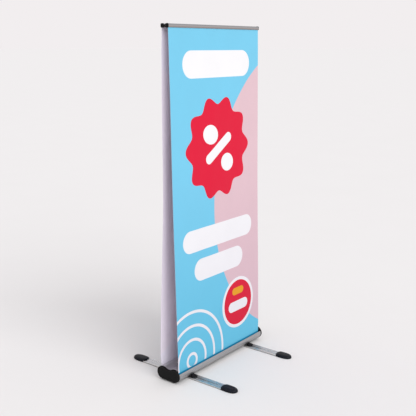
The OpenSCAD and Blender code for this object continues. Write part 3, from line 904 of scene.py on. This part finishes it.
def rail_section(r):
    """The front rail: a ridged face, a hem room open below and a tongue room open behind."""
    front, back = RAIL_LOW.y, RAIL_HIGH.y
    low, high = RAIL_LOW.z, RAIL_HIGH.z
    k, wall = r.corner, 0.0016
    film = FILM_HIGH.y - FILM_HALF
    inner_low, inner_high, middle = low + wall, high - wall, (low + high) / 2
    tongue_low, tongue_high = low + 0.006, low + 0.013
    web_back, web_front = back - 0.0092, back - 0.0108
    points = arc((back - k, low + k), k, -90, 0, 4)
    points += [(back, tongue_low), (back - wall, tongue_low), (back - wall, inner_low)]
    points += [(web_back, inner_low), (web_back, inner_high), (back - wall, inner_high)]
    points += [(back - wall, tongue_high), (back, tongue_high)]
    points += arc((back - k, high - k), k, 0, 90, 4)
    points += [(back - 0.0085, high), (back - 0.009, high - 0.0004)]
    points += [(back - 0.011, high - 0.0004), (back - 0.0115, high)]
    points += arc((front + k, high - k), k, 90, 180, 4)
    points += [(front - r.ridge, middle + 0.0003), (front - r.ridge, middle - 0.0003)]
    points += arc((front + k, low + k), k, 180, 270, 4)
    points += [(film - 0.0014, low), (film - 0.0010, low + 0.0004), (film - 0.0010, inner_low)]
    points += [(front + wall, inner_low), (front + wall, inner_high)]
    points += [(web_front, inner_high), (web_front, inner_low)]
    points += [(film + 0.0012, inner_low), (film + 0.0012, low + 0.0004), (film + 0.0016, low)]
    return points


class STAND_OT_top_rails(bpy.types.Operator):
    """Make the two ridged top rails"""

    bl_idname = "stand.top_rails"
    bl_label = "Top rails"

    def execute(self, context):
        section = rail_section(settings().rail)
        for side, name in ((1, "front_top_rail"), (-1, "rear_top_rail")):
            shape = bmesh.new()
            points = section if side == 1 else mirrored(section)
            bar(shape, points, [], RAIL_LOW.x, RAIL_HIGH.x, along_x)
            piece = finished("ridged_" + name, shape, finish_of("rail satin"), 28)
            stand_for(piece, "mast_upper", "rail_aluminium", name)
        return {"FINISHED"}


class STAND_OT_rail_caps(bpy.types.Operator):
    """Make the four domed caps on the ends of the top rails"""

    bl_idname = "stand.rail_caps"
    bl_label = "Rail caps"

    def execute(self, context):
        r = settings().rail
        middle_y, middle_z = (RAIL_LOW.y + RAIL_HIGH.y) / 2, (RAIL_LOW.z + RAIL_HIGH.z) / 2
        half_y, half_z = (RAIL_HIGH.y - RAIL_LOW.y) / 2, (RAIL_HIGH.z - RAIL_LOW.z) / 2
        base, deep = abs(RAIL_HIGH.x), abs(RAIL_CAP_LOW.x) - abs(RAIL_LOW.x)
        over, dome = r.cap_over, r.cap_dome
        profile = [
            (over - 0.0006, 0.0), (over, 0.0006), (over, deep * 0.45), (over - 0.0006, deep * 0.75),
            (over - 0.002, deep), (over - 0.0045, deep + dome * 0.6), (over - 0.008, deep + dome),
        ]
        for row, y in (("front", middle_y), ("rear", -middle_y)):
            for side, end in ((-1, "left"), (1, "right")):
                shape = bmesh.new()
                rings = []
                for grow, out in profile:
                    w, h = half_y + grow, half_z + grow
                    corner = min(w, h) * 0.55
                    outline = rounded_box((y - w, middle_z - h), (y + w, middle_z + h), corner, 6)
                    rings.append([(side * (base + out), a, b) for a, b in outline])
                skin(shape, rings)
                u, v = 0.0025, 0.006
                plug = rounded_box((y - u, middle_z - v), (y + u, middle_z + v), 0.001, 2)
                bar(shape, plug, [], side * (base - 0.0016), side * (base + 0.0005), along_x)
                name = row + "_rail_" + end + "_cap"
                piece = finished("domed_" + name, shape, finish_of("end cap moulding"), 45)
                stand_for(piece, "mast_upper", "cap_plastic", name)
        return {"FINISHED"}


# ---- Mast ----

COLLAR_RIBS, COLLAR_RIB, COLLAR_GAP = 24, 0.0007, 0.0003


class STAND_OT_lock_collars(bpy.types.Operator):
    """Make the two ribbed lock collars on the mast"""

    bl_idname = "stand.lock_collars"
    bl_label = "Lock collars"

    def execute(self, context):
        sets = (
            ("lower", LOWER_COLLAR_LOW, LOWER_COLLAR_HIGH, MAST_RADIUS, MIDDLE_RADIUS),
            ("upper", UPPER_COLLAR_LOW, UPPER_COLLAR_HIGH, MIDDLE_RADIUS, UPPER_RADIUS),
        )
        for level, low, high, outer, inner in sets:
            radius, bottom, top = high.x - 0.0006, low.z, high.z
            step = top - 0.0115

            def ribs(angle, r, height, radius=radius, bottom=bottom, top=top):
                if r < radius - 0.001 or not bottom + 0.003 < height < top - 0.003:
                    return 0
                return COLLAR_RIB * max(-0.6, math.cos(COLLAR_RIBS * angle))

            mouth, neck = outer + COLLAR_GAP, inner + COLLAR_GAP
            profile = [
                (mouth, bottom), (radius - 0.0022, bottom), (radius - 0.0008, bottom + 0.0012),
                (radius, bottom + 0.0028), (radius, bottom + 0.0040), (radius, bottom + 0.0150),
                (radius, top - 0.0060), (radius, top - 0.0040), (radius - 0.0004, top - 0.0026),
                (radius - 0.0020, top - 0.0010), (radius - 0.0040, top), (inner + 0.0012, top),
                (neck, top - 0.0009), (neck, step), (mouth, step),
            ]
            shape = bmesh.new()
            hollow_turned(shape, profile, (0, 0, 0), 192, ribs)
            piece = finished(level + "_ribbed_collar", shape, finish_of("satin moulding"), 40)
            stand_for(piece, level + "_collar", "moulded_plastic", level + "_lock_collar")
        return {"FINISHED"}


MAST_FIT = 0.00005
SOCKET_SEAT, SOCKET_SCREW = 0.026, 0.0031


class STAND_OT_mast_fittings(bpy.types.Operator):
    """Make the socket at the foot of the mast and the head between the rails"""

    bl_idname = "stand.mast_fittings"
    bl_label = "Mast socket and head"

    def execute(self, context):
        radius, bottom, top = SOCKET_HIGH.x, SOCKET_LOW.z, SOCKET_HIGH.z
        bore, seat = MAST_RADIUS + MAST_FIT, SOCKET_SEAT
        profile = [
            (SOCKET_SCREW, bottom), (radius, bottom), (radius, top - 0.009),
            (radius + 0.0010, top - 0.0085), (radius + 0.0012, top - 0.0070),
            (radius, top - 0.0055), (radius - 0.0006, top - 0.0016), (radius - 0.0018, top),
            (bore + 0.0008, top), (bore, top - 0.0008), (bore, seat), (SOCKET_SCREW, seat),
        ]
        shape = bmesh.new()
        hollow_turned(shape, profile, (0, 0, 0), 96)
        socket = finished("mast_foot_socket", shape, finish_of("satin moulding"), 40)
        stand_for(socket, "cassette", "moulded_plastic", "mast_socket")

        cup, bore = UPPER_RADIUS + 0.003, UPPER_RADIUS + MAST_FIT
        low, block = HEAD_LOW.z, RAIL_LOW.z - 0.009
        tube_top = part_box("mast_upper_tube")[1].z
        profile = [
            (bore, low + 0.0008), (UPPER_RADIUS + 0.0008, low), (cup - 0.0010, low),
            (cup, low + 0.0012), (cup, block - 0.004), (cup + 0.0015, block - 0.001),
            (cup + 0.0015, block + 0.002), (0.002, block + 0.002), (0.002, tube_top), (bore, tube_top),
        ]
        shape = bmesh.new()
        hollow_turned(shape, profile, (0, 0, 0), 96)
        gap = -RAIL_HIGH.y
        half = HEAD_HIGH.x
        middle = rounded_box((-gap, block), (gap, HEAD_HIGH.z), 0.0015, 4)
        bar(shape, middle, [], -half, half, along_x)
        wing = gap + 0.004
        tongue = rounded_box((-wing, RAIL_LOW.z + 0.0063), (wing, RAIL_LOW.z + 0.0127), 0.001, 3)
        bar(shape, tongue, [], -half, half, along_x)
        for side in (-1, 1):
            near, far = side * 0.008, side * 0.024
            rib = [(near, block - 0.012), (far, block + 0.001), (near, block + 0.001)]
            for y in (-gap * 0.35, gap * 0.35):
                bar(shape, rib, [], y - 0.001, y + 0.001, along_y)
        head = finished("mast_head_block", shape, finish_of("satin moulding"), 40)
        stand_for(head, "mast_upper", "moulded_plastic", "mast_head")
        return {"FINISHED"}


# ---- Feet ----

BAR_RECESS = 0.0008


def bar_section(f):
    """Section of a foot bar: rounded edges, a lip along each side and long grooves."""
    half = (BAR_HIGH.x - BAR_LOW.x) / 2
    low, high, k = BAR_LOW.z, BAR_HIGH.z, f.chamfer
    recess = high - BAR_RECESS
    side = arc((half - k, low + k), k, -90, 0, 3) + arc((half - k, high - k), k, 0, 90, 3)
    side += [(half - f.lip + 0.0005, high), (half - f.lip, recess)]
    for place in (0.0145, 0.0095):
        side += [(place + 0.0009, recess), (place + 0.0006, recess - f.groove)]
        side += [(place - 0.0006, recess - f.groove), (place - 0.0009, recess)]
    side += [(0.0035, recess), (0.0030, high)]
    return side + mirrored(side)


class STAND_OT_foot_bars(bpy.types.Operator):
    """Make the two grooved aluminium foot bars"""

    bl_idname = "stand.foot_bars"
    bl_label = "Foot bars"

    def execute(self, context):
        section = bar_section(settings().foot)
        half = (BAR_HIGH.x - BAR_LOW.x) / 2
        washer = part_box("foot_washers")[1].x - PIVOT_X + 0.0003
        bolt, bolt_head = 0.00505, 0.0103
        head_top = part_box("foot_pivot_bolts")[0].z + 0.003
        holes = [
            [(washer, BAR_HIGH.z - BAR_RECESS), (washer, 0.02)],
            [(bolt, -0.01), (bolt, 0.02)],
            [(bolt_head, -0.01), (bolt_head, head_top)],
        ]
        for side, name in ((-1, "left_foot"), (1, "right_foot")):
            x = side * PIVOT_X
            shape = bmesh.new()
            bar(shape, section, [], BAR_LOW.y, BAR_HIGH.y, lambda at, across, up: (x + across, at, up))
            piece = finished(name + "_grooved_bar", shape, finish_of("foot satin"), 30)
            carve(piece, [cutter(hole, (x, 0, 0)) for hole in holes])
            # The sides take the brighter copy of the metal: painted light
            piece.data.materials.append(finish_of("foot side"))
            for face in piece.data.polygons:
                if abs(face.normal.x) > 0.9 and abs(abs(face.center.x - x) - half) < 0.0001:
                    face.material_index = 1
            stand_for(piece, name, "foot_aluminium", name + "_bar")
        return {"FINISHED"}


def shoe_outline(inset, tongue, steps=22):
    """Plan of a shoe about the middle of its bar: half widths along it, then its bowed mouth."""
    half = (SHOE_HIGH.x - SHOE_LOW.x) / 2
    mouth, nose = SHOE_LOW.y + 0.013, SHOE_HIGH.y
    shoulder = nose - 0.056
    middle = (mouth + nose) / 2
    wide = (half - inset) / half
    tall = (nose - middle - inset) / (nose - middle)
    side = []
    for k in range(steps + 1):
        if k <= 6:
            v = mouth + (shoulder - mouth) * k / 6
            w = half - 0.002 * (1 - k / 6) ** 2
        else:
            a = (k - 6) / (steps - 6) * math.pi / 2
            v = shoulder + (nose - shoulder) * math.sin(a) ** 0.92
            w = half * math.cos(a) ** 0.86 if k < steps else 0
        side.append((w * wide, middle + (v - middle) * tall))
    bow = []
    edge, depth = side[0]
    for k in range(1, 12):
        u = 1 - 2 * k / 12
        bow.append((u * edge, depth - tongue * (1 - u * u) ** 0.65))
    return side + [(-w, v) for w, v in reversed(side[:-1])] + [(-u, v) for u, v in bow]


class STAND_OT_shoes(bpy.types.Operator):
    """Make the four rounded shoes on the ends of the feet"""

    bl_idname = "stand.shoes"
    bl_label = "Shoes"

    def execute(self, context):
        f = settings().foot
        tall = SHOE_HIGH.z
        t = f.tongue
        rings = (
            (0.0000, 0.0014, 0.0), (0.0008, 0.0004, 0.0), (0.0022, 0.0000, 0.0),
            (0.0060, 0.0002, 0.0), (0.0082, 0.0006, 0.15 * t), (0.0092, 0.0008, 0.6 * t),
            (0.0110, 0.0014, 0.85 * t), (0.0132, 0.0028, 0.95 * t), (0.0150, 0.0046, t),
            (0.0163, 0.0060, t), (0.0168, 0.0072, t), (0.0167, 0.0080, t),
            (0.0157, 0.0090, t), (0.0157, 0.0100, 0.98 * t), (0.0168, 0.0122, 0.95 * t),
            (tall * 0.985, 0.0170, 0.8 * t), (tall, 0.0240, 0.5 * t),
        )
        gap, start = 0.0001, 0.28
        w = (BAR_HIGH.x - BAR_LOW.x) / 2 + gap
        low, high = BAR_LOW.z - gap, BAR_HIGH.z + gap
        room = [(-w, low), (w, low), (w, high), (-w, high)]
        for side, foot in ((-1, "left_foot"), (1, "right_foot")):
            for way, end in ((-1, "front"), (1, "rear")):
                shape = bmesh.new()
                skin(shape, [
                    [(side * PIVOT_X + u, way * v, z) for u, v in shoe_outline(inset, tongue)]
                    for z, inset, tongue in rings
                ])
                piece = finished(foot + "_" + end + "_shoe", shape, finish_of("shoe moulding"), 60)
                tool = bmesh.new()
                bar(
                    tool, room, [], way * start, way * (BAR_HIGH.y + gap),
                    lambda at, across, up: (side * PIVOT_X + across, at, up),
                )
                carve(piece, [finished("cutting_tool", tool, [])])
                stand_for(piece, foot, "foot_rubber", foot + "_" + end + "_cap")
        return {"FINISHED"}


# ---- Banners ----

def film_line(z):
    """Distance of the front film from the middle plane: straight from the roll to the rail."""
    low, high = FILM_LOW.z, FILM_HIGH.z
    at_roll, at_rail = -FILM_LOW.y - FILM_HALF, -FILM_HIGH.y + FILM_HALF
    return at_roll + (at_rail - at_roll) * (z - low) / (high - low)


# How strongly the sides draw in, the edges flare and the film waves, up its height
DRAWN_IN = [(0.08, 0.0), (0.35, -0.1), (1.10, -1.0), (1.80, -0.3), (2.03, 0.0), (2.1, 0.0)]
FLARED = [(0.072, 0.0), (0.16, 1.0), (0.60, 0.75), (1.2, 0.45), (1.9, 0.45), (2.045, 0.0), (2.1, 0.0)]
WAVED = [(0.07, 0.0), (0.5, 1.0), (1.6, 1.0), (2.03, 0.0), (2.1, 0.0)]
RIM_WIDTH = 0.045


def film_bend(film, x, z, strong):
    """How far the film stands out from its straight line at a point of it."""
    from_edge = FILM_HIGH.x - abs(x)
    side = max(0.0, 1 - from_edge / film.curl_width)
    rim = max(0.0, 1 - from_edge / RIM_WIDTH)
    draw, flare, free = [smooth_through(knots, z) for knots in (DRAWN_IN, FLARED, WAVED)]
    ripple = math.sin(x * 21 + z * 1.7 + strong) + 0.6 * math.sin(x * 47 - z * 2.3 + 1.0)
    bend = film.curl * side * side * draw + film.belly * rim * rim * flare
    return bend * strong + film.wave * free * ripple


class STAND_OT_banners(bpy.types.Operator):
    """Make the two printed films from the rollers to the top rails"""

    bl_idname = "stand.banners"
    bl_label = "Banners"

    columns: IntProperty(name="Columns", description="Mesh columns across a film", default=60, min=8)
    rows: IntProperty(name="Rows", description="Mesh rows up a film", default=110, min=8)

    def execute(self, context):
        film = settings().film
        left, right = FILM_LOW.x, FILM_HIGH.x
        low, high = FILM_LOW.z, FILM_HIGH.z
        columns, rows = range(self.columns + 1), range(self.rows + 1)
        for side, name, strong in ((-1, "front", 0.25), (1, "rear", 1.0)):
            shape = bmesh.new()
            layer = shape.loops.layers.uv.new("sheet")
            grids = []
            for off in (film.thickness / 2, -film.thickness / 2):
                grid = []
                for j in rows:
                    z = low + (high - low) * j / self.rows
                    row = []
                    for i in columns:
                        t = 2 * i / self.columns - 1
                        x = right * (0.55 * t + 0.45 * t**3)
                        y = film_line(z) + film_bend(film, x, z, strong) + off
                        row.append(shape.verts.new((x, side * y, z)))
                    grid.append(row)
                grids.append(grid)
            outer, inner = grids
            for index, grid in enumerate(grids):
                for below, above in zip(grid, grid[1:]):
                    for i in columns[:-1]:
                        face = shape.faces.new((below[i], below[i + 1], above[i + 1], above[i]))
                        face.material_index = index
            rim = [(j, 0) for j in rows] + [(self.rows, i) for i in columns[1:]]
            rim += [(j, self.columns) for j in rows[-2::-1]] + [(0, i) for i in columns[-2:0:-1]]
            for (j, i), (m, k) in zip(rim, rim[1:] + rim[:1]):
                face = shape.faces.new((outer[j][i], outer[m][k], inner[m][k], inner[j][i]))
                face.material_index = 1
            for face in shape.faces:
                for corner in face.loops:
                    x = corner.vert.co.x
                    corner[layer].uv = (x - left if side < 0 else right - x, corner.vert.co.z)
            films = [finish_of("printed film"), finish_of("film backing")]
            piece = finished(name + "_banner", shape, films, 40)
            stand_for(piece, "cassette", "graphic_print", name + "_graphic")
            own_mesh(piece)
        return {"FINISHED"}


# ---- Pieces that keep their CAD shape ----

KEPT = {
    "mast tube": ["mast_lower_tube", "mast_middle_tube", "mast_upper_tube"],
    "roller tube": ["front_roller_tube", "rear_roller_tube"],
    "wound film": ["front_wound_graphic", "rear_wound_graphic"],
    "satin moulding": [
        "front_spring_plug", "rear_spring_plug", "front_idler_plug", "rear_idler_plug",
        "mast_middle_bush", "mast_upper_bush", "foot_washers", "front_clamp_strip", "rear_clamp_strip",
    ],
    "zinc plate": [
        "front_spring_shaft", "rear_spring_shaft", "front_idler_pin", "rear_idler_pin",
        "mast_socket_screw", "foot_pivot_bolts", "foot_pivot_nuts",
    ],
    "spring wire": ["front_roller_spring", "rear_roller_spring"],
}


class STAND_OT_working_parts(bpy.types.Operator):
    """Give the tubes, rollers, springs, bolts and bushes their finishes"""

    bl_idname = "stand.working_parts"
    bl_label = "Working parts"

    def execute(self, context):
        for finish, nodes in KEPT.items():
            for node in nodes:
                keep_node(node, finish)
        return {"FINISHED"}


# ---- Studio ----

def studio_floor(colour):
    """Pale painted floor with a faint mottle."""
    n = Nodes("studio floor")
    mottle = n.noise(n.placed((1, 1, 1)), 1.4, 3.0)
    fine = n.noise(n.placed((1, 1, 1)), 320.0, 2.0)
    shade = n.mix(n.between(mottle, 0.3, 0.7, 0, 1), tint(colour, 0.996), tint(colour, 1.004))
    n.shader.inputs["Specular IOR Level"].default_value = 0.0
    return n.finish(shade, 0.9, n.bump(fine, 0.00005, 0.1))


FLOOR_REACH = 600.0
SENSOR_WIDTH = 36


class STAND_OT_studio(bpy.types.Operator):
    """Make the pale floor and backdrop, the soft lights and the camera"""

    bl_idname = "stand.studio"
    bl_label = "Studio"

    def execute(self, context):
        s = settings().studio
        scene = context.scene
        shape = bmesh.new()
        corners = [FULL_TURN * k / 64 for k in range(64)]
        rings = [
            [(radius * math.cos(a), radius * math.sin(a), 0.0) for a in corners]
            for radius in (FLOOR_REACH, 60.0, 12.0, 3.0)
        ]
        loops = skin(shape, rings, ends=False)
        shape.faces.new(loops[-1])
        floor = finished("studio_floor", shape, studio_floor(s.floor), 80)

        world = bpy.data.worlds.new("studio light")
        world.use_nodes = True
        sky = world.node_tree.nodes["Background"]
        sky.inputs["Color"].default_value = (*s.sky_tint, 1)
        sky.inputs["Strength"].default_value = s.sky_light
        scene.world = world
        scene.view_settings.view_transform = "Standard"
        scene.view_settings.look = "None"
        lamp = bpy.data.lights.new("key_light", "SUN")
        lamp.energy = s.key_strength
        lamp.angle = s.key_spread
        key = bpy.data.objects.new("key_light", lamp)
        scene.collection.objects.link(key)
        key.location = (0, -4, 4)
        key.rotation_euler = (math.pi / 2 - s.key_rise, 0, s.key_turn)

        camera = bpy.data.cameras.new("stand_camera")
        camera.sensor_fit = "HORIZONTAL"
        camera.sensor_width = SENSOR_WIDTH
        camera.lens = s.lens
        camera.shift_y = s.rise
        holder = bpy.data.objects.new("stand_camera", camera)
        scene.collection.objects.link(holder)
        holder.location = (s.camera_x, s.camera_y, s.camera_z)
        holder.rotation_euler = (math.pi / 2 - s.camera_dip, 0, -s.camera_turn)
        scene.camera = holder
        return {"FINISHED"}


# ---- Panel and run ----

OPERATORS = [
    STAND_OT_cassette, STAND_OT_end_caps, STAND_OT_cap_screws, STAND_OT_support_pads, STAND_OT_top_rails,
    STAND_OT_rail_caps, STAND_OT_lock_collars, STAND_OT_mast_fittings, STAND_OT_foot_bars, STAND_OT_shoes,
    STAND_OT_banners, STAND_OT_working_parts, STAND_OT_studio,
]


class STAND_PT_panel(bpy.types.Panel):
    """Lists the stand's pieces and settings"""

    bl_label = "Banner stand"
    bl_idname = "STAND_PT_panel"
    bl_space_type = "VIEW_3D"
    bl_region_type = "UI"
    bl_category = "Banner stand"

    def draw(self, context):
        layout = self.layout
        for operator in OPERATORS:
            layout.operator(operator.bl_idname)
        for group in ("film", "cassette", "rail", "foot", "finish", "studio"):
            values = getattr(context.scene.banner_stand, group)
            column = layout.box().column()
            for key in values.__annotations__:
                column.prop(values, key)


GROUPS = [BannerFilm, CassetteMetal, RailMetal, FootMetal, Finishes, Studio, BannerStand]
CLASSES = [*GROUPS, *OPERATORS, STAND_PT_panel]


def register():
    for c in CLASSES:
        bpy.utils.register_class(c)
    bpy.types.Scene.banner_stand = PointerProperty(type=BannerStand)


def unregister():
    del bpy.types.Scene.banner_stand
    for c in reversed(CLASSES):
        bpy.utils.unregister_class(c)


def main():
    register()
    for operator in OPERATORS:
        group, name = operator.bl_idname.split(".")
        getattr(getattr(bpy.ops, group), name)()


if __name__ == "__main__":
    main()
